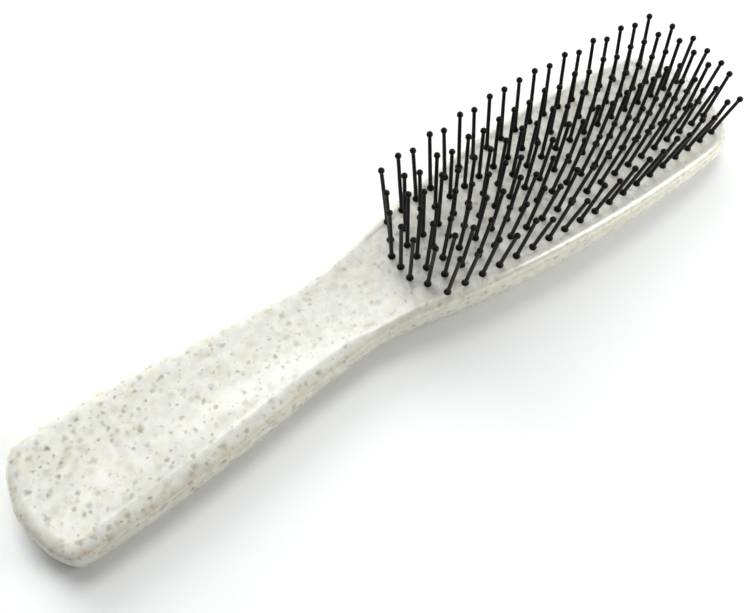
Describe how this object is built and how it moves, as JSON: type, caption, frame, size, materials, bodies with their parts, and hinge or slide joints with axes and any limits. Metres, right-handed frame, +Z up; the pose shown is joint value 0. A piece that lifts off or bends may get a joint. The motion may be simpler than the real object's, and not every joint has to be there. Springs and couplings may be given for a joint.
{
  "type": "hair grooming brush",
  "caption": "Hair grooming brush with a long oval head, a moulded two-shell body in pale speckled plastic and rows of long black ball-tipped nylon pins",
  "frame": {"origin": "middle of the body's length and width, on the level surface that the brush's back rests on", "axes": "+X from the butt of the handle to the tip of the head, +Y across the brush, +Z up along the pins"},
  "size_m": [0.212, 0.0426, 0.0341],
  "materials": {
    "front_shell": "gloss",
    "back_shell": "gloss",
    "pin_strip_1": "satin",
    "pin_strip_2": "satin",
    "pin_strip_3": "satin",
    "pin_strip_4": "satin",
    "pin_strip_5": "satin",
    "pin_strip_6": "satin",
    "pin_strip_7": "satin"
  },
  "bodies": {
    "root": {"front_shell": "front_shell", "back_shell": "back_shell", "pin_strip_1": "pin_strip_1", "pin_strip_2": "pin_strip_2", "pin_strip_3": "pin_strip_3", "pin_strip_4": "pin_strip_4", "pin_strip_5": "pin_strip_5", "pin_strip_6": "pin_strip_6", "pin_strip_7": "pin_strip_7"}
  },
  "joints": []
}
